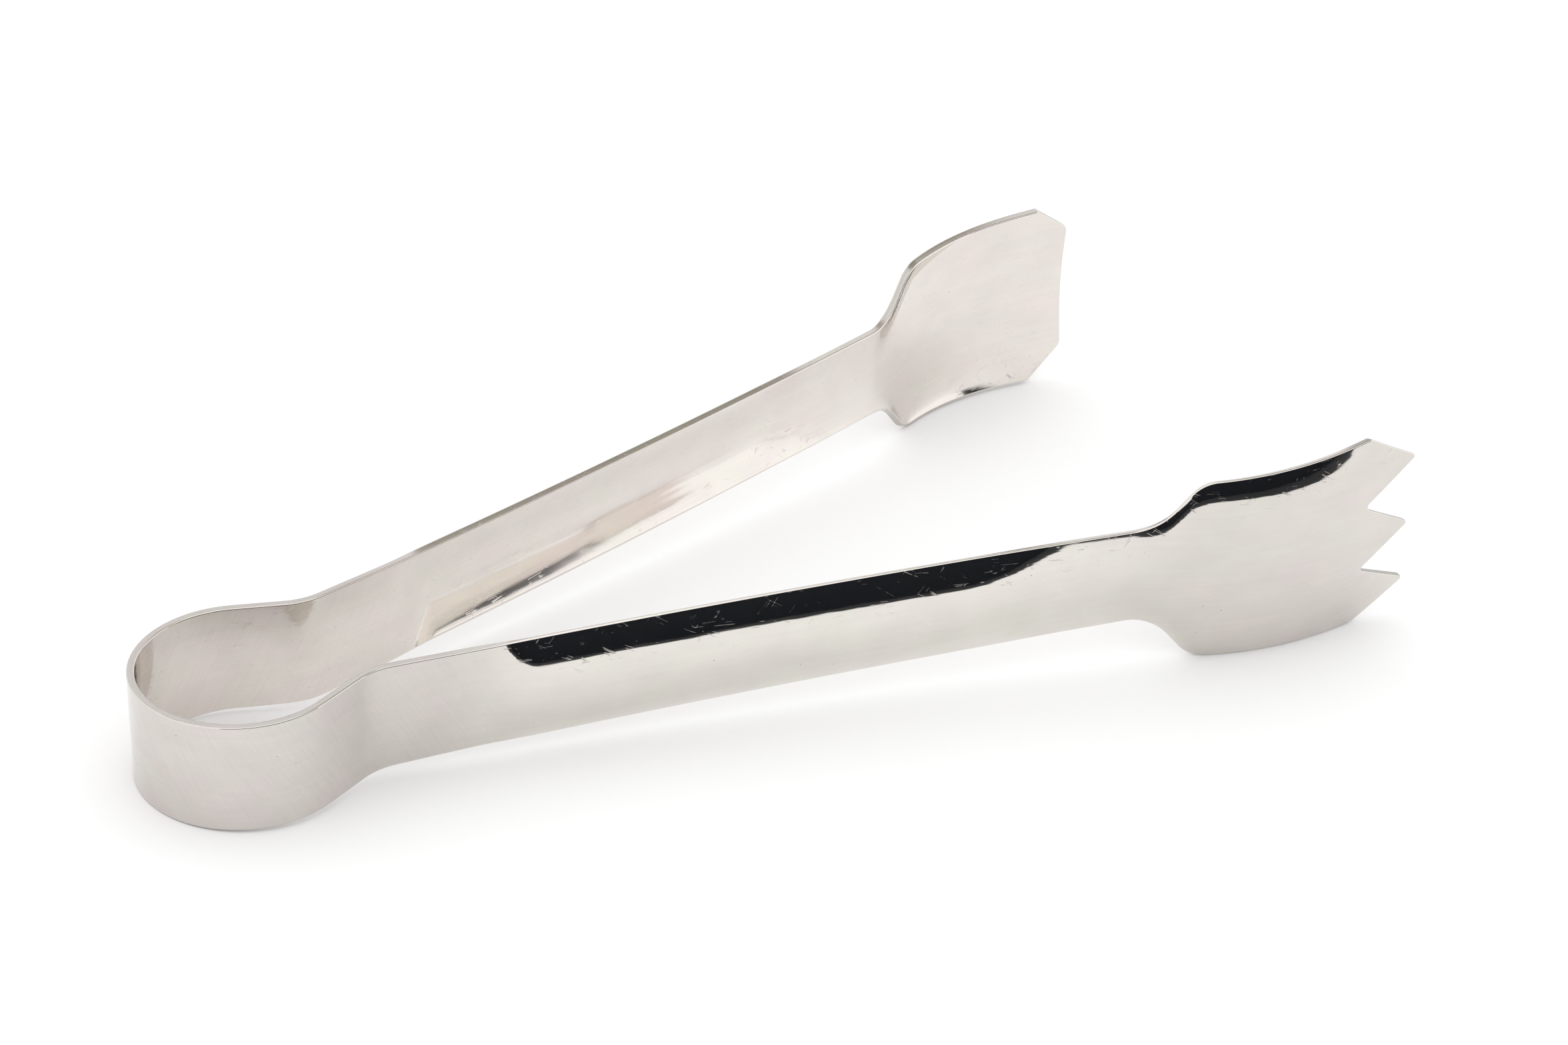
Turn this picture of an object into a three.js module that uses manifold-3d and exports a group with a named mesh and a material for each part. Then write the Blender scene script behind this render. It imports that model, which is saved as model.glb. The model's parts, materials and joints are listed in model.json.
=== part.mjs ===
// Ice tongs pressed and bent from one strip of stainless steel: a round spring bow, a waisted neck
// on each side, two channelled arms, a three-toothed fork head and a plain scoop head.
// The strip is divided at the lines where the bow flexes, so each zone is its own solid.
// Millimetres, +X from the bow to the heads, +Y from the fork arm to the scoop arm, +Z up.
import * as THREE from 'three';
import { mergeVertices } from 'three/addons/utils/BufferGeometryUtils.js';
import Module from 'manifold-3d';

const degrees = Math.PI / 180;

// Driving dimensions.
const THICKNESS = 1.1; // sheet thickness
const BOW_RADIUS = 14.1; // to the middle of the sheet
const BOW_TURN = 111.8 * degrees; // each side of the crown
const FLANK_LENGTH = 7.1; // straight stretch between the bow and the neck bend
const NECK_RADIUS = 9.6; // reverse bend, to the middle of the sheet
const FORK_ARM_ANGLE = 10.5 * degrees; // from the centre line, where the arm leaves the neck
const SCOOP_ARM_ANGLE = 10.2 * degrees;
const FORK_ARM_LENGTH = 106.4;
const SCOOP_ARM_LENGTH = 107.2;
const ARM_FLARE = 4.1 * degrees; // the arm's edges bow outwards by this much over its length
const KINK_LENGTH = 2.2; // where the head is set outwards from the arm
const KINK_TURN = 11.1 * degrees;
const HEAD_RISE_LENGTH = 7.9; // straight stretch after the kink
const HEAD_CURVE_LENGTH = 24.7; // the head turns back in over this length
const HEAD_CURVE_TURN = 30.2 * degrees;

const BOW_HALF_WIDTH = 8.05;
const ARM_HALF_WIDTH = 7.6;
const NARROWED = 61.5; // where the bow's width has eased into the arm's, along the strip from the crown
const ARM_END_HALF_WIDTH = 7.2;
const SHOULDER_HALF_WIDTH = 14.2;
const CORNER_HALF_WIDTH = 15.1;
const SHOULDER_ROOT_RADIUS = 8.3; // fillet between the arm's edge and the head's shoulder
const SHOULDER_TOP_RADIUS = 4.9; // round of the shoulder's own corner
const SHOULDER_SLOPE = 49.7 * degrees;

const FORK_LENGTH = 45.4; // along the sheet, from the arm's end to the outer teeth
const FORK_CORNER = 37.2; // where the chamfer towards the outer tooth starts
const FORK_TIP_HALF_WIDTH = 10.4;
const TOOTH_ROOT = 35.6; // bottom of the notches
const TOOTH_ROOT_HALF_WIDTH = 5.1;
const TOOTH_TIP_WIDTH = 0.5; // the teeth are slightly blunt
const MIDDLE_TOOTH_SETBACK = 1.2;
const SCOOP_LENGTH = 43.5;
const SCOOP_CORNER = 37.2;
const SCOOP_TIP_HALF_WIDTH = 10.4;
const SCOOP_TIP_ROUND = 1.4; // corner rounds of the scoop's front edge

const ARM_SAG = 2.0; // depth of the channel at the middle of the arm
const ARM_END_SAG = 0.92;
const CHANNEL_START = 51.0; // along the strip from the crown
const CHANNEL_FULL = 60.0;
const CHANNEL_FADE = 121.0; // the channel gets shallower from here
const CHANNEL_FADED = 138.0;
const SHOULDER_SAG = 1.4;
const FRONT_SAG = 1.9;
const SHOULDER_SECTION_POWER = 5; // a flat floor with its edges turned in
const ROUND_SECTION_POWER = 2; // an evenly rounded section

const FLEX_LINES = [7.0, 18.0, 29.0, 43.0]; // along the strip from the crown, on each side
const GAP = 0.3; // between neighbouring zones

const CUTTER_DEPTH = 12; // taller through the sheet than the dished fork is deep
const CUTTER_BEYOND = 2; // how far the notch cutters run past the tips

const steel = { color: 0xcfccc7, roughness: 0.12, metalness: 1.0 };
const forkSide = { sign: -1, armAngle: FORK_ARM_ANGLE, armLength: FORK_ARM_LENGTH };
const scoopSide = { sign: 1, armAngle: SCOOP_ARM_ANGLE, armLength: SCOOP_ARM_LENGTH };

const bowLength = BOW_RADIUS * BOW_TURN;

function neckLength(side) {
  return NECK_RADIUS * (BOW_TURN - Math.PI / 2 + side.armAngle);
}

function armStart(side) {
  return bowLength + FLANK_LENGTH + neckLength(side);
}

function headStart(side) {
  return armStart(side) + side.armLength;
}

// The centre line's stretches seen from above, from the crown outwards. A positive turn is inwards.
function stretches(side) {
  return [
    { length: bowLength, turn: BOW_TURN },
    { length: FLANK_LENGTH, turn: 0 },
    { length: neckLength(side), turn: Math.PI / 2 - BOW_TURN - side.armAngle },
    { length: side.armLength, turn: -ARM_FLARE },
    { length: KINK_LENGTH, turn: -KINK_TURN },
    { length: HEAD_RISE_LENGTH, turn: 0 },
    { length: HEAD_CURVE_LENGTH, turn: HEAD_CURVE_TURN },
    { length: FORK_LENGTH, turn: 0 },
  ];
}

// The point and heading of the centre line at a distance along the strip. Negative distances run
// backwards round the bow, past the crown.
function planAt(side, distance) {
  let x = -BOW_RADIUS;
  let y = 0;
  let heading = (side.sign * Math.PI) / 2;
  let left = distance;
  for (const stretch of stretches(side)) {
    const run = Math.min(left, stretch.length);
    const turned = (-side.sign * stretch.turn * run) / stretch.length;
    const chord = turned === 0 ? run : (run * Math.sin(turned / 2)) / (turned / 2);
    x += chord * Math.cos(heading + turned / 2);
    y += chord * Math.sin(heading + turned / 2);
    heading += turned;
    left -= run;
    if (left <= 0) break;
  }
  return { x, y, heading };
}

function blend(from, to, distance, start, end) {
  return from + (to - from) * THREE.MathUtils.smoothstep(distance, start, end);
}

// Half the strip's width from the crown to the end of the arm.
function armHalfWidth(side, distance) {
  if (distance < NARROWED) return blend(BOW_HALF_WIDTH, ARM_HALF_WIDTH, distance, bowLength, NARROWED);
  const share = (distance - NARROWED) / (headStart(side) - NARROWED);
  return THREE.MathUtils.lerp(ARM_HALF_WIDTH, ARM_END_HALF_WIDTH, Math.min(share, 1));
}

const shoulderRise = SHOULDER_HALF_WIDTH - ARM_END_HALF_WIDTH;
const shoulderRounds = SHOULDER_ROOT_RADIUS + SHOULDER_TOP_RADIUS;
const shoulderSlant = (shoulderRise - shoulderRounds * (1 - Math.cos(SHOULDER_SLOPE))) / Math.sin(SHOULDER_SLOPE);
const rootEnd = SHOULDER_ROOT_RADIUS * Math.sin(SHOULDER_SLOPE);
const slantEnd = rootEnd + shoulderSlant * Math.cos(SHOULDER_SLOPE);
const shoulderEnd = slantEnd + SHOULDER_TOP_RADIUS * Math.sin(SHOULDER_SLOPE);

// Half the head's width before its corners are cut off, at a distance from the arm's end: a fillet out
// of the arm, a slant, a round shoulder, then nearly parallel edges.
function uncutHalfWidth(reach) {
  if (reach <= rootEnd) {
    return ARM_END_HALF_WIDTH + SHOULDER_ROOT_RADIUS - Math.sqrt(SHOULDER_ROOT_RADIUS ** 2 - reach ** 2);
  }
  if (reach <= slantEnd) {
    const rootRise = SHOULDER_ROOT_RADIUS * (1 - Math.cos(SHOULDER_SLOPE));
    return ARM_END_HALF_WIDTH + rootRise + (reach - rootEnd) * Math.tan(SHOULDER_SLOPE);
  }
  if (reach <= shoulderEnd) {
    const drop = SHOULDER_TOP_RADIUS - Math.sqrt(SHOULDER_TOP_RADIUS ** 2 - (shoulderEnd - reach) ** 2);
    return SHOULDER_HALF_WIDTH - drop;
  }
  const share = (reach - shoulderEnd) / (FORK_CORNER - shoulderEnd);
  return THREE.MathUtils.lerp(SHOULDER_HALF_WIDTH, CORNER_HALF_WIDTH, share);
}

// Half the head's width, with the chamfer from the corner to the tip.
function headHalfWidth(head, reach) {
  if (reach <= head.corner) return uncutHalfWidth(reach);
  const chamfer = (reach - head.corner) / (head.length - head.corner);
  const width = THREE.MathUtils.lerp(CORNER_HALF_WIDTH, head.tipHalfWidth, chamfer);
  const roundStart = head.length - head.tipRound;
  if (reach <= roundStart) return width;
  const intoRound = Math.min(reach - roundStart, head.tipRound);
  return width - head.tipRound + Math.sqrt(head.tipRound ** 2 - intoRound ** 2);
}

const fork = { length: FORK_LENGTH, corner: FORK_CORNER, tipHalfWidth: FORK_TIP_HALF_WIDTH, tipRound: 0 };
const scoop = {
  length: SCOOP_LENGTH,
  corner: SCOOP_CORNER,
  tipHalfWidth: SCOOP_TIP_HALF_WIDTH,
  tipRound: SCOOP_TIP_ROUND,
};

// How far the sheet stands outwards of the centre line, at a distance along the strip and a height on
// the flat blank. The dish is pressed across the whole width, before the corners are cut off.
function rise(side, distance, height) {
  const reach = distance - headStart(side);
  let sag = blend(0, ARM_SAG, distance, CHANNEL_START, CHANNEL_FULL);
  sag = blend(sag, ARM_END_SAG, distance, CHANNEL_FADE, CHANNEL_FADED);
  const crest = sag;
  let power = ROUND_SECTION_POWER;
  let half = armHalfWidth(side, distance);
  if (reach > 0) {
    sag = blend(sag, SHOULDER_SAG, reach, 0, shoulderEnd);
    sag = blend(sag, FRONT_SAG, reach, shoulderEnd, SCOOP_CORNER);
    power = blend(power, SHOULDER_SECTION_POWER, reach, 0, shoulderEnd);
    power = blend(power, ROUND_SECTION_POWER, reach, shoulderEnd, SCOOP_CORNER);
    half = uncutHalfWidth(reach);
  }
  return crest - sag * Math.abs(height / half) ** power;
}

const STEP = 0.01; // for the slopes below

// Maps a point of the flat blank (distance along the strip, depth through the sheet towards the
// left of the heading, height up the blank) to its place on the bent strip.
function bentPoint(side, distance, across, height) {
  const at = planAt(side, distance);
  const along = new THREE.Vector3(Math.cos(at.heading), Math.sin(at.heading), 0);
  const leftward = new THREE.Vector3(-along.y, along.x, 0);
  const up = new THREE.Vector3(0, 0, 1);
  const slopeAlong = (rise(side, distance + STEP, height) - rise(side, distance - STEP, height)) / (2 * STEP);
  const slopeUp = (rise(side, distance, height + STEP) - rise(side, distance, height - STEP)) / (2 * STEP);
  const normal = leftward.clone();
  normal.addScaledVector(along, -side.sign * slopeAlong);
  normal.addScaledVector(up, -side.sign * slopeUp);
  normal.normalize();
  const point = new THREE.Vector3(at.x, at.y, height);
  point.addScaledVector(leftward, side.sign * rise(side, distance, height));
  return point.addScaledVector(normal, across);
}

// One zone of the strip: a box of the flat blank with cross lines at the given stations, bent.
function bentZone(side, stations, halfWidth, stripsAcross) {
  const cells = stations.length - 1;
  const geometry = new THREE.BoxGeometry(1, THICKNESS, 2, cells, 1, stripsAcross);
  const position = geometry.attributes.position;
  for (let i = 0; i < position.count; i += 1) {
    const station = stations[Math.round((position.getX(i) + 0.5) * cells)];
    const point = bentPoint(side, station, position.getY(i), position.getZ(i) * halfWidth(station));
    position.setXYZ(i, point.x, point.y, point.z);
  }
  geometry.computeVertexNormals();
  return geometry;
}

function evenStations(start, end, cells) {
  return Array.from({ length: cells + 1 }, (_, i) => start + ((end - start) * i) / cells);
}

function zoneMesh(name, geometry) {
  const mesh = new THREE.Mesh(geometry, new THREE.MeshStandardMaterial(steel));
  mesh.name = name;
  return mesh;
}

// Solids of the zones between the crown and the head on one side.
function armZones(side, prefix) {
  const halfWidth = (distance) => armHalfWidth(side, distance);
  const ends = [...FLEX_LINES, headStart(side)];
  const zones = [
    { name: 'bow_rear', cells: 7, across: 1 },
    { name: 'bow_front', cells: 7, across: 1 },
    { name: 'neck', cells: 10, across: 2 },
    { name: 'arm', cells: 22, across: 8 },
  ];
  return zones.map((zone, i) => {
    const stations = evenStations(ends[i] + GAP / 2, ends[i + 1] - GAP / 2, zone.cells);
    return zoneMesh(`${prefix}_${zone.name}`, bentZone(side, stations, halfWidth, zone.across));
  });
}

function headGeometry(side, head) {
  const start = headStart(side);
  const reaches = [
    ...evenStations(GAP / 2, rootEnd, 5),
    ...evenStations(slantEnd, shoulderEnd, 5),
    ...evenStations(shoulderEnd, head.corner, 9).slice(1),
    ...evenStations(head.corner, head.length - head.tipRound, 3).slice(1),
  ];
  if (head.tipRound > 0) reaches.push(...evenStations(head.length - head.tipRound, head.length, 4).slice(1));
  const stations = reaches.map((reach) => start + reach);
  return bentZone(side, stations, (distance) => headHalfWidth(head, distance - start), 14);
}

const wasm = await Module();
wasm.setup();

function toManifold(geometry) {
  const bare = geometry.clone();
  bare.deleteAttribute('normal');
  bare.deleteAttribute('uv');
  const merged = mergeVertices(bare, 1e-4);
  return new wasm.Manifold(
    new wasm.Mesh({
      numProp: 3,
      vertProperties: new Float32Array(merged.attributes.position.array),
      triVerts: new Uint32Array(merged.index.array),
    }),
  );
}

function fromManifold(solid) {
  const mesh = solid.getMesh();
  const geometry = new THREE.BufferGeometry();
  geometry.setAttribute('position', new THREE.BufferAttribute(mesh.vertProperties, 3));
  geometry.setIndex(new THREE.BufferAttribute(mesh.triVerts, 1));
  geometry.computeVertexNormals();
  return geometry;
}

// A cutter through the sheet, square to it at the fork's tips: the outline is drawn with its first
// axis along the fork and its second axis up, both measured from the tips' middle.
function tipCutter(side, outline) {
  const cutter = new THREE.ExtrudeGeometry(new THREE.Shape(outline), { depth: CUTTER_DEPTH, bevelEnabled: false });
  cutter.translate(0, 0, -CUTTER_DEPTH / 2);
  cutter.rotateX(Math.PI / 2);
  const tip = planAt(side, headStart(side) + FORK_LENGTH);
  cutter.rotateZ(tip.heading);
  cutter.translate(tip.x, tip.y, 0);
  return toManifold(cutter);
}

// The fork's two notches, and the short setback of its middle tooth.
function cutTeeth(side, geometry) {
  const depth = FORK_LENGTH - TOOTH_ROOT;
  const outerTip = FORK_TIP_HALF_WIDTH - TOOTH_TIP_WIDTH;
  const middleTip = TOOTH_TIP_WIDTH / 2;
  let solid = toManifold(geometry);
  for (const half of [1, -1]) {
    const notch = [
      new THREE.Vector2(-depth, half * TOOTH_ROOT_HALF_WIDTH),
      new THREE.Vector2(0, half * outerTip),
      new THREE.Vector2(CUTTER_BEYOND, half * outerTip),
      new THREE.Vector2(CUTTER_BEYOND, half * middleTip),
      new THREE.Vector2(-MIDDLE_TOOTH_SETBACK, half * middleTip),
    ];
    solid = solid.subtract(tipCutter(side, notch));
  }
  const setback = [
    new THREE.Vector2(-MIDDLE_TOOTH_SETBACK, -TOOTH_TIP_WIDTH),
    new THREE.Vector2(CUTTER_BEYOND, -TOOTH_TIP_WIDTH),
    new THREE.Vector2(CUTTER_BEYOND, TOOTH_TIP_WIDTH),
    new THREE.Vector2(-MIDDLE_TOOTH_SETBACK, TOOTH_TIP_WIDTH),
  ];
  return fromManifold(solid.subtract(tipCutter(side, setback)));
}

function crownMesh() {
  const end = FLEX_LINES[0] - GAP / 2;
  const geometry = bentZone(scoopSide, evenStations(-end, end, 9), () => BOW_HALF_WIDTH, 1);
  return zoneMesh('bow_crown', geometry);
}

// The strip as drawn, its middle plane level.
const strip = new THREE.Group();
strip.add(crownMesh());
strip.add(...armZones(forkSide, 'fork'));
strip.add(zoneMesh('fork_head', cutTeeth(forkSide, headGeometry(forkSide, fork))));
strip.add(...armZones(scoopSide, 'scoop'));
strip.add(zoneMesh('scoop_head', headGeometry(scoopSide, scoop)));

// The heads are wider than the bow, so at rest the strip leans back until the crown's lower edge and
// the lower shoulders all touch the surface.
function restLean() {
  const crownX = -BOW_RADIUS - THICKNESS / 2;
  let lean = 0;
  for (const mesh of strip.children) {
    const position = mesh.geometry.attributes.position;
    for (let i = 0; i < position.count; i += 1) {
      const below = -BOW_HALF_WIDTH - position.getZ(i);
      lean = Math.max(lean, Math.atan2(below, position.getX(i) - crownX));
    }
  }
  return lean;
}

strip.rotation.y = -restLean();

// The origin is on the surface, under the middle of the tongs' box.
const tongs = new THREE.Group();
tongs.add(strip);
tongs.updateMatrixWorld(true);
const extent = new THREE.Box3().setFromObject(tongs, true);
const middle = extent.getCenter(new THREE.Vector3());
strip.position.set(-middle.x, -middle.y, -extent.min.z);

export default tongs;
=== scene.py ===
"""Looks of the one-piece ice tongs: a strip of polished steel, bent round a spring bow and pressed
into two channelled arms, a three-toothed fork head and a scoop head.

The strip's shape is worked out in millimetres in its own level frame, with the bow's centre as the
origin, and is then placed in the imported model's frame, in metres.
"""

import json
import math

import bpy
import numpy as np
from mathutils import Matrix, Vector
from mathutils.geometry import delaunay_2d_cdt


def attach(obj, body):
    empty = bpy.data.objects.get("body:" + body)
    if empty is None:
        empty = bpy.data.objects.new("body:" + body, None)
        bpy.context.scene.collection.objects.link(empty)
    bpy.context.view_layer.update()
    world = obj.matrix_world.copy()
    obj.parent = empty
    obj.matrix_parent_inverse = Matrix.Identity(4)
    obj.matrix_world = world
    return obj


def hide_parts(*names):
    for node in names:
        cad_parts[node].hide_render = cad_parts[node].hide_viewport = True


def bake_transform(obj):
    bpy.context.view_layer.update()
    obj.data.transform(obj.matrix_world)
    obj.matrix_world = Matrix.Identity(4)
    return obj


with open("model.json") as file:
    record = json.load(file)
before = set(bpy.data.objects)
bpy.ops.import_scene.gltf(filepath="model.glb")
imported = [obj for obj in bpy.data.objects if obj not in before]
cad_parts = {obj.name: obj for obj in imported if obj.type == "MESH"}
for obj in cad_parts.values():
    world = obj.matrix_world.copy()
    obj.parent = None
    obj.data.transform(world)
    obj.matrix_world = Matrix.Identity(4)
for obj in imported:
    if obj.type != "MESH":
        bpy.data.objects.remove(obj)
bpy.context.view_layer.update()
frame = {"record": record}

MM = 0.001

# ---------------------------------------------------------------------------------------------
# Sizes of the strip, in millimetres.

THICKNESS = 1.1
BOW_RADIUS = 14.1
BOW_TURN = math.radians(111.8)
FLANK_LENGTH = 7.1
NECK_RADIUS = 9.6
ARM_ANGLE = {"fork": math.radians(10.5), "scoop": math.radians(10.2)}
ARM_LENGTH = {"fork": 106.4, "scoop": 107.2}
ARM_FLARE = math.radians(4.1)
KINK_LENGTH = 2.2
KINK_TURN = math.radians(11.1)
HEAD_RISE_LENGTH = 7.9
HEAD_CURVE_LENGTH = 24.7
HEAD_CURVE_TURN = math.radians(30.2)

BOW_HALF_WIDTH = 8.05
ARM_HALF_WIDTH = 7.6
NARROWED = 61.5
ARM_END_HALF_WIDTH = 7.2
SHOULDER_HALF_WIDTH = 14.2
CORNER_HALF_WIDTH = 15.1
SHOULDER_ROOT_RADIUS = 8.3
SHOULDER_TOP_RADIUS = 4.9
SHOULDER_SLOPE = math.radians(49.7)

FORK_LENGTH = 45.4
FORK_CORNER = 37.2
FORK_TIP_HALF_WIDTH = 10.4
TOOTH_ROOT = 35.6
TOOTH_ROOT_HALF_WIDTH = 5.1
TOOTH_TIP_WIDTH = 0.5
MIDDLE_TOOTH_SETBACK = 1.2
SCOOP_LENGTH = 43.5
SCOOP_CORNER = 37.2
SCOOP_TIP_HALF_WIDTH = 10.4

ARM_SAG = 2.0
ARM_END_SAG = 0.92
CHANNEL_START = 51.0
CHANNEL_FULL = 60.0
CHANNEL_FADE = 121.0
CHANNEL_FADED = 138.0
SHOULDER_SAG = 1.4
FRONT_SAG = 1.9
ROUND_SECTION_POWER = 2
SHOULDER_SECTION_POWER = 5

# The scoop arm's faces catch the light as if the arm were rolled a little. Only its shading turns.
ARM_ROLL = {"fork": 0.0, "scoop": math.tan(math.radians(6.0))}
ROLL_START = 40.0
ROLL_FULL = 60.0
ROLL_EASE = 8.0  # the roll fades out this far each side of the head's root

EDGE_ROUND = 0.24  # the cut edges are broken by this radius
CORNER_ROUND = {"corner": 0.8, "tooth": 0.32, "notch": 0.5, "scoop": 1.6}

# The pieces of one side round the bow and neck, by their ends along the strip. Each spans one flex line.
BEND_ENDS = [0.0, 12.5, 23.5, 36.0, 50.0]
FLEX_LINES = [7.0, 18.0, 29.0, 43.0]
FLEX_REACH = 5.0  # centre points are found this far each way from its flex line
BEND_NAMES = ["crown_bend", "bow_bend", "flank_bend", "root_bend"]
BEND_NODES = ["bow_crown", "{}_bow_rear", "{}_bow_front", "{}_neck"]

STEP_ALONG = 0.5
CELLS_ACROSS = 28
HEAD_GRID = 0.7
BORDER_CLEARANCE = HEAD_GRID * 0.5  # the head's inner points keep this far from its border
SHOULDER_POINTS = 12
CORNER_STEP = math.radians(15)
MERGE_DISTANCE = 1e-5
TINY = 1e-12  # stands in for a zero that would be divided by
EDGE_ANGLES = np.radians([0.0, 22.5, 45.0, 67.5, 90.0])


# ---------------------------------------------------------------------------------------------
# The strip's middle surface.

def smoothstep(value, start, end):
    t = np.clip((value - start) / (end - start), 0.0, 1.0)
    return t * t * (3.0 - 2.0 * t)


def mix(a, b, share):
    return a + (b - a) * share


class Side:
    """One side of the tongs, from the crown to the tips."""

    def __init__(self, name):
        self.name = name
        self.sign = -1.0 if name == "fork" else 1.0
        bow_length = BOW_RADIUS * BOW_TURN
        neck_turn = math.pi / 2 - BOW_TURN - ARM_ANGLE[name]
        neck_length = -NECK_RADIUS * neck_turn
        self.bow_end = bow_length
        self.head_start = bow_length + FLANK_LENGTH + neck_length + ARM_LENGTH[name]
        self.stretches = [
            (bow_length, BOW_TURN),
            (FLANK_LENGTH, 0.0),
            (neck_length, neck_turn),
            (ARM_LENGTH[name], -ARM_FLARE),
            (KINK_LENGTH, -KINK_TURN),
            (HEAD_RISE_LENGTH, 0.0),
            (HEAD_CURVE_LENGTH, HEAD_CURVE_TURN),
            (FORK_LENGTH, 0.0),
        ]

    def plan(self, distance):
        """Point and heading of the centre line seen from above."""
        left = np.array(distance, float)
        x = np.full(left.shape, -BOW_RADIUS)
        y = np.zeros(left.shape)
        heading = np.full(left.shape, self.sign * math.pi / 2)
        for i, (length, turn) in enumerate(self.stretches):
            run = np.minimum(left, length) if i == 0 else np.clip(left, 0.0, length)
            bend = -self.sign * turn * run / length
            chord = run * np.sinc(bend / 2 / math.pi)
            x = x + chord * np.cos(heading + bend / 2)
            y = y + chord * np.sin(heading + bend / 2)
            heading = heading + bend
            left = left - run
        return x, y, heading

    def half_width(self, distance):
        """Half the strip's width, from the crown to the arm's end."""
        rear = mix(BOW_HALF_WIDTH, ARM_HALF_WIDTH, smoothstep(distance, self.bow_end, NARROWED))
        share = np.clip((distance - NARROWED) / (self.head_start - NARROWED), 0.0, 1.0)
        return np.where(distance < NARROWED, rear, mix(ARM_HALF_WIDTH, ARM_END_HALF_WIDTH, share))

    def uncut_half_width(self, distance):
        """The same, carried on over the head's shoulders, before its corners are cut off."""
        reach = distance - self.head_start
        root_rise = SHOULDER_ROOT_RADIUS * (1 - math.cos(SHOULDER_SLOPE))
        into_root = np.clip(reach, 0.0, ROOT_END)
        root = SHOULDER_ROOT_RADIUS - np.sqrt(SHOULDER_ROOT_RADIUS**2 - into_root**2)
        slant = root_rise + (reach - ROOT_END) * math.tan(SHOULDER_SLOPE)
        before_top = np.clip(SHOULDER_END - reach, 0.0, SHOULDER_TOP_RADIUS)
        drop = SHOULDER_TOP_RADIUS - np.sqrt(SHOULDER_TOP_RADIUS**2 - before_top**2)
        top = SHOULDER_RISE - drop
        front = (reach - SHOULDER_END) / (FORK_CORNER - SHOULDER_END)
        front = SHOULDER_RISE + (CORNER_HALF_WIDTH - SHOULDER_HALF_WIDTH) * front
        spread = np.where(reach <= ROOT_END, root, slant)
        spread = np.where(reach > SLANT_END, top, spread)
        spread = np.where(reach > SHOULDER_END, front, spread)
        return self.half_width(distance) + spread

    def rise(self, distance, height):
        """How far the sheet stands outwards of the centre line. The dish is pressed across the whole
        width, before the corners are cut off."""
        reach = distance - self.head_start
        crest = ARM_SAG * smoothstep(distance, CHANNEL_START, CHANNEL_FULL)
        crest = mix(crest, ARM_END_SAG, smoothstep(distance, CHANNEL_FADE, CHANNEL_FADED))
        shoulder = smoothstep(reach, 0.0, SHOULDER_END)
        front = smoothstep(reach, SHOULDER_END, SCOOP_CORNER)
        sag = mix(mix(crest, SHOULDER_SAG, shoulder), FRONT_SAG, front)
        power = mix(ROUND_SECTION_POWER, SHOULDER_SECTION_POWER, shoulder)
        power = mix(power, ROUND_SECTION_POWER, front)
        return crest - sag * np.abs(height / self.uncut_half_width(distance)) ** power

    def surface(self, distance, height):
        """Middle-surface points with their outward normal and the two directions in the sheet."""
        x, y, heading = self.plan(distance)
        along = np.stack([np.cos(heading), np.sin(heading), 0 * heading], -1)
        outward = self.sign * np.stack([-np.sin(heading), np.cos(heading), 0 * heading], -1)
        up = np.array([0.0, 0.0, 1.0])
        step = 0.01
        rise = self.rise(distance, height)
        slope_along = (self.rise(distance + step, height) - self.rise(distance - step, height)) / (2 * step)
        slope_up = (self.rise(distance, height + step) - self.rise(distance, height - step)) / (2 * step)
        point = np.stack([x, y, height], -1) + outward * rise[:, None]
        roll = ARM_ROLL[self.name] * smoothstep(distance, ROLL_START, ROLL_FULL)
        roll = roll * (1.0 - smoothstep(distance, self.head_start - ROLL_EASE, self.head_start + ROLL_EASE))
        normal = outward - along * slope_along[:, None] - up * (slope_up + roll)[:, None]
        normal /= np.linalg.norm(normal, axis=1, keepdims=True)
        tangent_along = along + outward * slope_along[:, None]
        tangent_up = up + outward * slope_up[:, None]
        tangent_along /= np.linalg.norm(tangent_along, axis=1, keepdims=True)
        tangent_up /= np.linalg.norm(tangent_up, axis=1, keepdims=True)
        return point, normal, tangent_along, tangent_up


SHOULDER_RISE = SHOULDER_HALF_WIDTH - ARM_END_HALF_WIDTH
SHOULDER_ROUNDS = SHOULDER_ROOT_RADIUS + SHOULDER_TOP_RADIUS
SLANT_RISE = SHOULDER_RISE - SHOULDER_ROUNDS * (1 - math.cos(SHOULDER_SLOPE))
ROOT_END = SHOULDER_ROOT_RADIUS * math.sin(SHOULDER_SLOPE)
SLANT_END = ROOT_END + SLANT_RISE / math.tan(SHOULDER_SLOPE)
SHOULDER_END = SLANT_END + SHOULDER_TOP_RADIUS * math.sin(SHOULDER_SLOPE)
HEAD_ENDS = {
    "fork": (FORK_CORNER, FORK_LENGTH, FORK_TIP_HALF_WIDTH),
    "scoop": (SCOOP_CORNER, SCOOP_LENGTH, SCOOP_TIP_HALF_WIDTH),
}
fork = Side("fork")
scoop = Side("scoop")

# The strip's place in the model: it leans back on its flex axes, round the centre of the bow.
mounts = {mount["name"]: mount for mount in frame["record"]["mounts"]}
bow_centre = np.array(mounts["hang_loop"]["pos_m"])
flex_axis = np.array(mounts["hang_loop"]["axis"])
lean_x = np.array([flex_axis[2], 0.0, -flex_axis[0]])
strip_axes = np.stack([lean_x, [0.0, 1.0, 0.0], flex_axis])


def placed(points):
    return points * MM @ strip_axes + bow_centre


def turned(directions):
    return directions @ strip_axes


# ---------------------------------------------------------------------------------------------
# Meshes.

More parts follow.
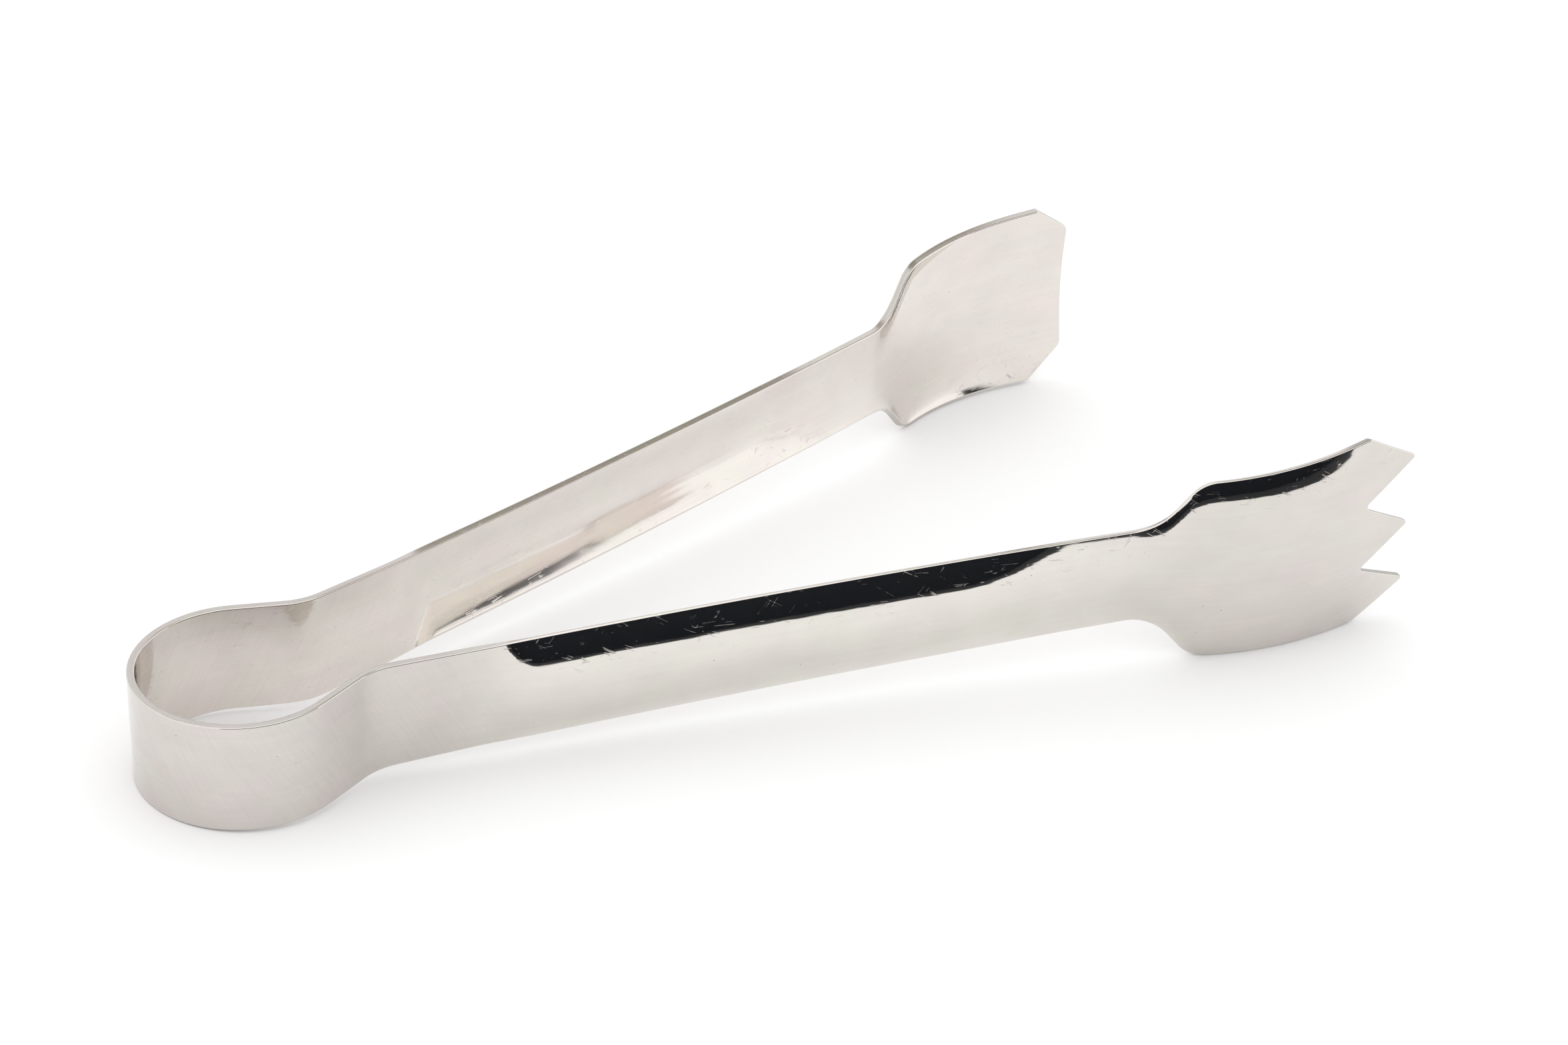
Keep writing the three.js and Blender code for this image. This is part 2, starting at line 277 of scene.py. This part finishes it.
def edge_profile():
    """The rounded edge of the sheet, from the outer face round to the inner face: how far in from
    the outline, how far out from the middle surface, and how the normal leans."""
    rows = []
    flat = THICKNESS / 2 - EDGE_ROUND
    for face in (1, -1):
        angles = EDGE_ANGLES if face > 0 else EDGE_ANGLES[::-1]
        for angle in angles:
            inset = EDGE_ROUND * (1 - math.sin(angle))
            out = face * (flat + EDGE_ROUND * math.cos(angle))
            rows.append((inset, out, face * math.cos(angle), math.sin(angle)))
    return rows


def sheet_mesh(name, side, distance, height, out, lift, slide_along, slide_up, faces):
    """Makes an object from places on the flat blank. Each normal is a mix of the sheet's outward
    normal (lift) and directions in the sheet."""
    point, normal, tangent_along, tangent_up = side.surface(distance, height)
    point = placed(point + normal * out[:, None])
    shade = normal * lift[:, None] + tangent_along * slide_along[:, None] + tangent_up * slide_up[:, None]
    shade = turned(shade / np.linalg.norm(shade, axis=1, keepdims=True))
    mesh = bpy.data.meshes.new(name)
    mesh.from_pydata(point.tolist(), [], faces)
    mesh.validate()
    mesh.shade_smooth()
    blank = mesh.attributes.new("blank", "FLOAT_VECTOR", "POINT")
    blank.data.foreach_set("vector", np.stack([side.sign * distance, height, out], -1).ravel())
    mesh.normals_split_custom_set_from_vertices(shade.tolist())
    piece = bpy.data.objects.new(name, mesh)
    bpy.context.collection.objects.link(piece)
    return piece


def oriented(faces, side):
    """Faces are written for the scoop side; the fork side is its mirror image."""
    return [face[::-1] for face in faces] if side.sign < 0 else faces


def section_heights(half):
    """Heights of the face's points across the sheet, between the rounded edges."""
    return np.linspace(-1.0, 1.0, CELLS_ACROSS + 1)[:, None] * (half - EDGE_ROUND)


def band(name, side, start, end):
    """A stretch of the strip, open at both ends, where it meets its neighbours."""
    cells = max(2, round((end - start) / STEP_ALONG))
    stations = np.linspace(start, end, cells + 1)
    half = side.half_width(stations)
    across = section_heights(half)
    profile = edge_profile()
    rows = []
    for heights in across:
        rows.append((heights, THICKNESS / 2, 1.0, 0.0))
    for inset, out, lift, slide in profile[1:-1]:
        rows.append((half - inset, out, lift, slide))
    for heights in across[::-1]:
        rows.append((heights, -THICKNESS / 2, -1.0, 0.0))
    for inset, out, lift, slide in profile[::-1][1:-1]:
        rows.append((inset - half, out, lift, -slide))
    count = len(stations)
    distance = np.tile(stations, len(rows))
    height = np.concatenate([row[0] for row in rows])
    out = np.repeat([row[1] for row in rows], count)
    lift = np.repeat([row[2] for row in rows], count)
    slide_up = np.repeat([row[3] for row in rows], count)
    faces = []
    for r in range(len(rows)):
        following = (r + 1) % len(rows)
        for c in range(cells):
            faces.append((r * count + c, following * count + c, following * count + c + 1, r * count + c + 1))
    return sheet_mesh(name, side, distance, height, out, lift, 0 * out, slide_up, oriented(faces, side))


def rounded(corners, spacing):
    """A polyline through corners given as (reach, height, radius), with each corner rounded."""
    places = [np.array(corner[:2]) for corner in corners]
    path = [places[0]]
    for i in range(1, len(corners) - 1):
        radius = corners[i][2]
        if radius == 0:
            path.append(places[i])
            continue
        back = places[i - 1] - places[i]
        ahead = places[i + 1] - places[i]
        back /= np.linalg.norm(back)
        ahead /= np.linalg.norm(ahead)
        opening = math.acos(float(np.clip(back @ ahead, -1.0, 1.0)))
        trim = radius / math.tan(opening / 2)
        middle = (back + ahead) / np.linalg.norm(back + ahead)
        centre = places[i] + middle * radius / math.sin(opening / 2)
        first = places[i] + back * trim - centre
        last = places[i] + ahead * trim - centre
        sweep = math.pi - opening
        steps = max(3, math.ceil(sweep / CORNER_STEP))
        for k in range(steps + 1):
            share = k / steps
            spoke = first * math.sin((1 - share) * sweep) + last * math.sin(share * sweep)
            path.append(centre + spoke / math.sin(sweep))
    path.append(places[-1])
    points = [path[0]]
    for a, b in zip(path, path[1:]):
        cuts = max(1, math.ceil(np.linalg.norm(b - a) / spacing))
        points += [a + (b - a) * k / cuts for k in range(1, cuts + 1)]
    return np.array(points)


def shoulder_path():
    """Reach and half width from the arm's end round the shoulder to its top, as fine points."""
    root = np.linspace(0.0, SHOULDER_SLOPE, SHOULDER_POINTS)
    top = np.linspace(SHOULDER_SLOPE, 0.0, SHOULDER_POINTS)
    root_reach = SHOULDER_ROOT_RADIUS * np.sin(root)
    root_half = ARM_END_HALF_WIDTH + SHOULDER_ROOT_RADIUS * (1 - np.cos(root))
    top_reach = SHOULDER_END - SHOULDER_TOP_RADIUS * np.sin(top)
    top_half = SHOULDER_HALF_WIDTH - SHOULDER_TOP_RADIUS * (1 - np.cos(top))
    return list(zip(root_reach, root_half, 0 * root)) + list(zip(top_reach, top_half, 0 * top))


def head_outline(side):
    """The head's outline on the blank, from the lower end of its root round to the upper end."""
    corner, length, tip = HEAD_ENDS[side.name]
    upper = shoulder_path() + [(corner, CORNER_HALF_WIDTH, CORNER_ROUND["corner"])]
    if side.name == "fork":
        tooth = CORNER_ROUND["tooth"]
        upper += [
            (length, tip, tooth),
            (length, tip - TOOTH_TIP_WIDTH, tooth),
            (TOOTH_ROOT, TOOTH_ROOT_HALF_WIDTH, CORNER_ROUND["notch"]),
            (length - MIDDLE_TOOTH_SETBACK, TOOTH_TIP_WIDTH / 2, tooth),
        ]
    else:
        upper.append((length, tip, CORNER_ROUND["scoop"]))
    lower = [(reach, -half, radius) for reach, half, radius in upper]
    return rounded(lower + upper[::-1], HEAD_GRID)


def outline_normals(outline):
    """Unit vectors on the blank that point out of the outline."""
    ahead = np.gradient(outline, axis=0)
    ahead /= np.linalg.norm(ahead, axis=1, keepdims=True)
    normals = np.stack([ahead[:, 1], -ahead[:, 0]], -1)
    normals[0] = (0.0, -1.0)
    normals[-1] = (0.0, 1.0)
    return normals


def filled(ring, root_points):
    """Triangles and inner points that fill the ring, whose ends are joined by the root points."""
    border = np.concatenate([ring, root_points])
    reach = np.arange(ring[:, 0].min() + HEAD_GRID, ring[:, 0].max(), HEAD_GRID)
    height = np.arange(-CORNER_HALF_WIDTH, CORNER_HALF_WIDTH + HEAD_GRID, HEAD_GRID)
    grid = np.stack(np.meshgrid(reach, height), -1).reshape(-1, 2)
    following = np.roll(border, -1, axis=0)
    crossings = np.zeros(len(grid), int)
    nearest = np.full(len(grid), np.inf)
    for a, b in zip(border, following):
        straddles = (a[1] > grid[:, 1]) != (b[1] > grid[:, 1])
        run = (b[1] - a[1]) or TINY
        at = a[0] + (grid[:, 1] - a[1]) / run * (b[0] - a[0])
        crossings += straddles & (grid[:, 0] < at)
        span = b - a
        along = np.clip(((grid - a) @ span) / max(span @ span, TINY), 0.0, 1.0)
        nearest = np.minimum(nearest, np.linalg.norm(grid - a - along[:, None] * span, axis=1))
    inner = grid[(crossings % 2 == 1) & (nearest > BORDER_CLEARANCE)]
    places = [Vector(place) for place in np.concatenate([border, inner])]
    inside = 1
    found, _, triangles, sources, _, _ = delaunay_2d_cdt(
        places, [], [list(range(len(border)))], inside, MERGE_DISTANCE
    )
    if len(found) != len(places):
        raise ValueError("the outline of a head crosses itself")
    own = [source[0] for source in sources]
    return inner, [tuple(own[i] for i in triangle) for triangle in triangles]


def blade(name, side):
    """The head: both faces filled inside the outline, joined by the rounded edge. It is open at its
    root, where the arm's end meets it."""
    outline = head_outline(side)
    normals = outline_normals(outline)
    profile = edge_profile()
    ring = outline - normals * EDGE_ROUND
    root_half = np.array([ARM_END_HALF_WIDTH])
    root_points = np.stack([np.zeros(CELLS_ACROSS - 1), section_heights(root_half)[-2:0:-1, 0]], -1)
    inner, triangles = filled(ring, root_points)
    count = len(outline)
    parts = []
    for inset, out, lift, slide in profile:
        parts.append((outline - normals * inset, out, lift, normals * slide))
    flat = np.concatenate([root_points, inner])
    parts.append((flat, THICKNESS / 2, 1.0, 0 * flat))
    parts.append((flat, -THICKNESS / 2, -1.0, 0 * flat))
    place = np.concatenate([part[0] for part in parts])
    out = np.concatenate([np.full(len(part[0]), part[1]) for part in parts])
    lift = np.concatenate([np.full(len(part[0]), part[2]) for part in parts])
    slide = np.concatenate([part[3] for part in parts])
    faces = []
    for r in range(len(profile) - 1):
        for c in range(count - 1):
            a = r * count + c
            faces.append((a, a + 1, a + 1 + count, a + count))
    rings = len(profile) * count
    outer_index = list(range(count)) + list(range(rings, rings + len(flat)))
    inner_index = list(range(rings - count, rings)) + list(range(rings + len(flat), rings + 2 * len(flat)))
    faces += [tuple(outer_index[i] for i in triangle)[::-1] for triangle in triangles]
    faces += [tuple(inner_index[i] for i in triangle) for triangle in triangles]
    distance = place[:, 0] + side.head_start
    faces = oriented(faces, side)
    return sheet_mesh(name, side, distance, place[:, 1], out, lift, slide[:, 0], slide[:, 1], faces)


# ---------------------------------------------------------------------------------------------
# Polished steel. Its marks are laid out on the flat blank, in millimetres: along the strip, across
# it, and out from its middle surface.

# Painted light: the bow and heads get a darker steel than the arms, and the heads take half of it, to even
# out how bright their reflections come out; the strip is one steel all through.
END_STEEL = (0.650, 0.618, 0.590, 1.0)  # the bow and the heads
ARM_STEEL = (0.770, 0.742, 0.700, 1.0)
# Painted light: the inner faces get a brighter steel, standing in for the brighter reflections they show.
INNER_STEEL = (0.790, 0.747, 0.710, 1.0)
ROSY = (1.0, 0.975, 0.985, 1.0)
STRAW = (0.990, 1.0, 0.975, 1.0)
STAIN = (0.36, 0.27, 0.20, 1.0)

# Where the finish changes: each goes from none at its first value to full at its second.
INNER_FACE = (0.1, -0.1)  # out from the middle surface
CUT_EDGE = (0.5, 0.35)  # from the middle surface, either way
NEAR_BOW = (62.0, 44.0)  # from the crown
ON_HEAD = (138.0, 156.0)
UPPER_HALF = (0.0, 8.0)  # up from the middle of the strip
FORK_TEETH = (-177.0, -181.0)  # along the blank, on the fork's side
HUE_CHANGE = (0.35, 0.65)  # of the clouds of hue
HEAD_SHARE = 0.5  # how much of the ends' colour the heads take

HAIRLINE_CORE = 0.3  # the full part of a line's width
HAIRLINE_PATCHES = (2.6, 1.2, 1.2)
PATCH_EDGE = 0.05
SPECK_CLOUDS = (9.0, 9.0, 9.0)
SPECK_SIZES = (0.5, 0.75)
LEAST_SPECK = 0.01
SPECK_CORE = 0.6
STAIN_DEPTH = 0.85


class Finish:
    """Builds the node network of a material."""

    def __init__(self, name):
        self.material = bpy.data.materials.new(name)
        self.material.use_nodes = True
        self.tree = self.material.node_tree
        self.shader = self.tree.nodes["Principled BSDF"]

    def feed(self, socket, value):
        if isinstance(value, bpy.types.NodeSocket):
            self.tree.links.new(value, socket)
        else:
            socket.default_value = value

    def math(self, operation, *values):
        node = self.tree.nodes.new("ShaderNodeMath")
        node.operation = operation
        for socket, value in zip(node.inputs, values):
            self.feed(socket, value)
        return node.outputs["Value"]

    def total(self, *values):
        result = values[0]
        for value in values[1:]:
            result = self.math("ADD", result, value)
        return result

    def weighed(self, base, *shares):
        """The base with each mask added in by its amount."""
        return self.total(base, *[self.math("MULTIPLY", mask, amount) for mask, amount in shares])

    def fade(self, value, start, end):
        """0 up to the start and 1 from the end on, smooth between them."""
        node = self.tree.nodes.new("ShaderNodeMapRange")
        node.interpolation_type = "SMOOTHSTEP"
        self.feed(node.inputs["Value"], value)
        node.inputs["From Min"].default_value = start
        node.inputs["From Max"].default_value = end
        return node.outputs["Result"]

    def blend(self, share, a, b):
        """A colour between two colours."""
        node = self.tree.nodes.new("ShaderNodeMix")
        node.data_type = "RGBA"
        self.feed(node.inputs["Factor"], share)
        for socket, value in zip([s for s in node.inputs if s.type == "RGBA"], (a, b)):
            self.feed(socket, value)
        return [s for s in node.outputs if s.type == "RGBA"][0]

    def tinted(self, color, tint):
        """A colour multiplied by another."""
        node = self.tree.nodes.new("ShaderNodeVectorMath")
        node.operation = "MULTIPLY"
        self.feed(node.inputs[0], color)
        self.feed(node.inputs[1], tint)
        return node.outputs["Vector"]

    def scaled(self, place, lengths, turn=0.0):
        """Coordinates in which the given lengths are one unit, turned in the sheet."""
        node = self.tree.nodes.new("ShaderNodeMapping")
        node.vector_type = "TEXTURE"
        node.inputs["Scale"].default_value = lengths
        node.inputs["Rotation"].default_value = (0.0, 0.0, math.radians(turn))
        self.tree.links.new(place, node.inputs["Vector"])
        return node.outputs["Vector"]

    def noise(self, place, lengths, detail=2.0, turn=0.0):
        """Cloudy variation about 0.5, with features of the given lengths."""
        node = self.tree.nodes.new("ShaderNodeTexNoise")
        node.inputs["Scale"].default_value = 1.0
        node.inputs["Detail"].default_value = detail
        self.tree.links.new(self.scaled(place, lengths, turn), node.inputs["Vector"])
        return node.outputs["Fac"]

    def hairlines(self, place, lengths, turn, width, cover):
        """Thin lines where a stretched noise passes its middle, kept in scattered patches."""
        across = self.math("ABSOLUTE", self.math("SUBTRACT", self.noise(place, lengths, 0.0, turn), 0.5))
        line = self.fade(across, width, width * HAIRLINE_CORE)
        patches = self.noise(place, HAIRLINE_PATCHES, 2.0, turn)
        patch = self.fade(patches, cover, cover + PATCH_EDGE)
        return self.math("MULTIPLY", line, patch)

    def specks(self, place, spacing, radius):
        """Small round marks, at most one to a cell of the given spacing."""
        node = self.tree.nodes.new("ShaderNodeTexVoronoi")
        node.inputs["Scale"].default_value = 1.0
        self.tree.links.new(self.scaled(place, (spacing, spacing, spacing)), node.inputs["Vector"])
        size = self.fade(self.noise(place, SPECK_CLOUDS, 0.0), *SPECK_SIZES)
        reach = self.math("DIVIDE", node.outputs["Distance"], self.math("MAXIMUM", size, LEAST_SPECK))
        return self.fade(reach, radius / spacing, radius / spacing * SPECK_CORE)


def polished_steel():
    finish = Finish("polished_steel")
    attribute = finish.tree.nodes.new("ShaderNodeAttribute")
    attribute.attribute_name = "blank"
    place = attribute.outputs["Vector"]
    axes = finish.tree.nodes.new("ShaderNodeSeparateXYZ")
    finish.tree.links.new(place, axes.inputs["Vector"])
    inside = finish.fade(axes.outputs["Z"], *INNER_FACE)
    cut_edge = finish.fade(finish.math("ABSOLUTE", axes.outputs["Z"]), *CUT_EDGE)
    from_crown = finish.math("ABSOLUTE", axes.outputs["X"])
    near_bow = finish.fade(from_crown, *NEAR_BOW)
    on_head = finish.fade(from_crown, *ON_HEAD)
    near_ends = finish.weighed(near_bow, (on_head, HEAD_SHARE))

    # Painted shade: on the inner face near the bow, the steel is darkened towards the upper edge.
    upper_inside = finish.math("MULTIPLY", inside, finish.fade(axes.outputs["Y"], *UPPER_HALF))
    painted_shade = finish.math("MULTIPLY", upper_inside, near_bow)
    # Painted reflection: the cut edges of the fork's teeth are darkened, standing in for something dark they
    # reflect.
    tooth_edge_reflection = finish.math("MULTIPLY", cut_edge, finish.fade(axes.outputs["X"], *FORK_TEETH))

    clouds = finish.noise(place, (6.0, 4.0, 4.0), detail=4.0)
    hue_clouds = finish.noise(place, (11.0, 6.0, 6.0), detail=2.0)
    grain = finish.noise(place, (14.0, 0.35, 0.35), detail=3.0)
    fine_grain = finish.noise(place, (3.0, 0.09, 0.09), detail=2.0)
    waves = finish.noise(place, (9.0, 3.0, 3.0), detail=2.0)
    streaks = finish.noise(place, (10.0, 0.8, 0.8), detail=2.0)
    buffing = finish.math("MULTIPLY", finish.noise(place, (5.0, 0.22, 0.22), detail=1.0, turn=62.0), near_bow)
    shear_marks = finish.math("MULTIPLY", finish.noise(place, (0.5, 0.5, 3.0), detail=2.0), cut_edge)
    scratches = finish.total(
        finish.hairlines(place, (9.0, 0.45, 0.45), turn=28.0, width=0.05, cover=0.62),
        finish.hairlines(place, (9.0, 0.40, 0.40), turn=-41.0, width=0.05, cover=0.63),
        finish.hairlines(place, (12.0, 0.40, 0.40), turn=4.0, width=0.05, cover=0.60),
    )
    marks = finish.specks(place, spacing=1.7, radius=0.11)

    # Painted light: the darker bow and heads and the brighter arms even out their reflections.
    tint = finish.blend(near_ends, ARM_STEEL, END_STEEL)
    # Painted light: the inner faces are brightened.
    tint = finish.blend(inside, tint, INNER_STEEL)
    brightness = finish.weighed(
        0.86,
        (clouds, 0.12),
        (grain, 0.07),
        (buffing, 0.09),
        (cut_edge, -0.26),
        # Painted dark reflection on the cut edges of the fork's teeth:
        (tooth_edge_reflection, -0.30),
        # Painted shade, inside the bow towards its upper edge:
        (painted_shade, -0.14),
    )
    tint = finish.tinted(tint, finish.blend(finish.fade(hue_clouds, *HUE_CHANGE), ROSY, STRAW))
    shade = finish.tree.nodes.new("ShaderNodeVectorMath")
    shade.operation = "SCALE"
    finish.feed(shade.inputs[0], tint)
    finish.feed(shade.inputs["Scale"], brightness)
    color = finish.blend(finish.math("MULTIPLY", marks, STAIN_DEPTH), shade.outputs["Vector"], STAIN)

    roughness = finish.weighed(
        0.015,
        (clouds, 0.04),
        (grain, 0.03),
        (inside, 0.05),
        (scratches, 0.22),
        (marks, 0.3),
        (cut_edge, 0.16),
    )

    height = finish.weighed(
        0.0,
        (waves, 0.020),
        (streaks, 0.0045),
        (grain, 0.0012),
        (fine_grain, 0.0004),
        (buffing, 0.0010),
        (shear_marks, 0.002),
        (scratches, -0.0012),
        (marks, -0.006),
    )
    bump = finish.tree.nodes.new("ShaderNodeBump")
    bump.inputs["Distance"].default_value = MM
    finish.feed(bump.inputs["Height"], height)

    finish.shader.inputs["Metallic"].default_value = 1.0
    finish.feed(finish.shader.inputs["Base Color"], color)
    finish.feed(finish.shader.inputs["Roughness"], roughness)
    finish.feed(finish.shader.inputs["Normal"], bump.outputs["Normal"])
    return finish.material


steel = polished_steel()


def finished(piece, *nodes):
    piece.data.materials.append(steel)
    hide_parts(*nodes)
    return piece


def centre_at(side, distance):
    x, y, _ = side.plan(np.array([distance]))
    return placed(np.stack([x, y, 0 * x], -1))[0].tolist()


for side in (fork, scoop):
    for i, name in enumerate(BEND_NAMES):
        piece = band(f"{side.name}_{name}", side, BEND_ENDS[i], BEND_ENDS[i + 1])
        finished(piece, BEND_NODES[i].format(side.name))
        start = centre_at(side, FLEX_LINES[i] - FLEX_REACH)
        end = centre_at(side, FLEX_LINES[i] + FLEX_REACH)
        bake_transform(piece)
    arm_body = f"{side.name}_arm"
    arm = band(f"{side.name}_arm_channel", side, BEND_ENDS[-1], side.head_start)
    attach(finished(arm, f"{side.name}_arm"), arm_body)
    head = blade(f"{side.name}_head_blade", side)
    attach(finished(head, f"{side.name}_head"), arm_body)


# ---------------------------------------------------------------------------------------------
# Floor, light and camera.

FLOOR_REACH = 3.0
JUST_ABOVE_FLOOR = 0.001
PAPER = (0.9, 0.9, 0.9, 1.0)
ROOM_STRENGTH = 1.25
DARK_ROOM = (0.002, 0.004, 0.008)
BLACK_CARD = (0.01, 0.01, 0.01)
DULL_BOARD = (0.44, 0.415, 0.36)


def level_corners(left, right, front, back, height):
    """The corners of a level rectangle, in order round it."""
    return [(left, front, height), (right, front, height), (right, back, height), (left, back, height)]


def floor():
    mesh = bpy.data.meshes.new("floor")
    corners = level_corners(-FLOOR_REACH, FLOOR_REACH, -FLOOR_REACH, FLOOR_REACH, 0.0)
    mesh.from_pydata(corners, [], [(0, 1, 2, 3)])
    piece = bpy.data.objects.new("floor", mesh)
    bpy.context.collection.objects.link(piece)
    material = bpy.data.materials.new("pale_paper")
    material.use_nodes = True
    shader = material.node_tree.nodes["Principled BSDF"]
    shader.inputs["Base Color"].default_value = PAPER
    shader.inputs["Roughness"].default_value = 0.9
    mesh.materials.append(material)


def room():
    world = bpy.data.worlds.new("studio")
    world.use_nodes = True
    world.node_tree.nodes["Background"].inputs["Color"].default_value = (1.0, 1.0, 1.0, 1.0)
    world.node_tree.nodes["Background"].inputs["Strength"].default_value = ROOM_STRENGTH
    bpy.context.scene.world = world


def card(name, color, corners, faces):
    """A card beside the tongs, seen only in their reflections."""
    mesh = bpy.data.meshes.new(name)
    mesh.from_pydata(corners, [], faces)
    piece = bpy.data.objects.new(name, mesh)
    bpy.context.collection.objects.link(piece)
    material = bpy.data.materials.new(name)
    material.use_nodes = True
    shader = material.node_tree.nodes["Principled BSDF"]
    shader.inputs["Base Color"].default_value = (*color, 1.0)
    shader.inputs["Roughness"].default_value = 1.0
    mesh.materials.append(material)
    piece.visible_camera = False
    piece.visible_diffuse = False
    piece.visible_shadow = False


def dark_front():
    """The dark room beyond the front edge of the pale table."""
    near, far, top = -0.2, -0.6, 0.3
    left, near_right, far_right = -0.7, 0.22, 0.66
    corners = [
        (left, near, JUST_ABOVE_FLOOR),
        (near_right, near, JUST_ABOVE_FLOOR),
        (far_right, far, JUST_ABOVE_FLOOR),
        (left, far, JUST_ABOVE_FLOOR),
        (left, far, top),
        (far_right, far, top),
    ]
    card("dark_front", DARK_ROOM, corners, [(0, 1, 2, 3), (3, 2, 5, 4)])


def small_dark_card():
    """A dark card high up to the left, meant for the cut edge of the scoop's shoulder."""
    corners = level_corners(left=-0.35, right=-0.25, front=0.18, back=0.30, height=0.5)
    card("small_dark_card", BLACK_CARD, corners, [(0, 1, 2, 3)])


def dull_ceiling():
    """A dull board high up to the right, meant for the cut edges of the channelled arms."""
    corners = level_corners(left=0.12, right=0.6, front=-0.2, back=0.15, height=0.4)
    card("dull_ceiling", DULL_BOARD, corners, [(0, 1, 2, 3)])


CAMERA_TARGET = (90.48, 8.13, -3.41)  # in the strip's own frame, in millimetres
CAMERA_BACK = math.radians(-33.917), math.radians(31.699)
CAMERA_ROLL = math.radians(1.437)
CAMERA_DISTANCE = 593.4
CAMERA_LENS = 94.85
SENSOR_WIDTH = 36.0
NEAREST_SEEN = 0.01


def camera():
    azimuth, elevation = CAMERA_BACK
    back = np.array([
        math.sin(azimuth) * math.cos(elevation),
        -math.cos(azimuth) * math.cos(elevation),
        math.sin(elevation),
    ])
    level = np.array([math.cos(azimuth), math.sin(azimuth), 0.0])
    upright = np.cross(back, level)
    right = math.cos(CAMERA_ROLL) * level + math.sin(CAMERA_ROLL) * upright
    up = math.cos(CAMERA_ROLL) * upright - math.sin(CAMERA_ROLL) * level
    place = placed(np.array([CAMERA_TARGET]) + CAMERA_DISTANCE * back)[0]
    axes = turned(np.stack([right, up, back]))
    data = bpy.data.cameras.new("camera")
    data.sensor_width = SENSOR_WIDTH
    data.sensor_fit = "HORIZONTAL"
    data.lens = CAMERA_LENS
    data.clip_start = NEAREST_SEEN
    eye = bpy.data.objects.new("camera", data)
    bpy.context.collection.objects.link(eye)
    pose = Matrix.Identity(4)
    for column in range(3):
        for row in range(3):
            pose[row][column] = axes[column][row]
        pose[column][3] = place[column]
    eye.matrix_world = pose
    bpy.context.scene.camera = eye


floor()
room()
dark_front()
dull_ceiling()
small_dark_card()
camera()
bpy.context.scene.view_settings.view_transform = "Standard"
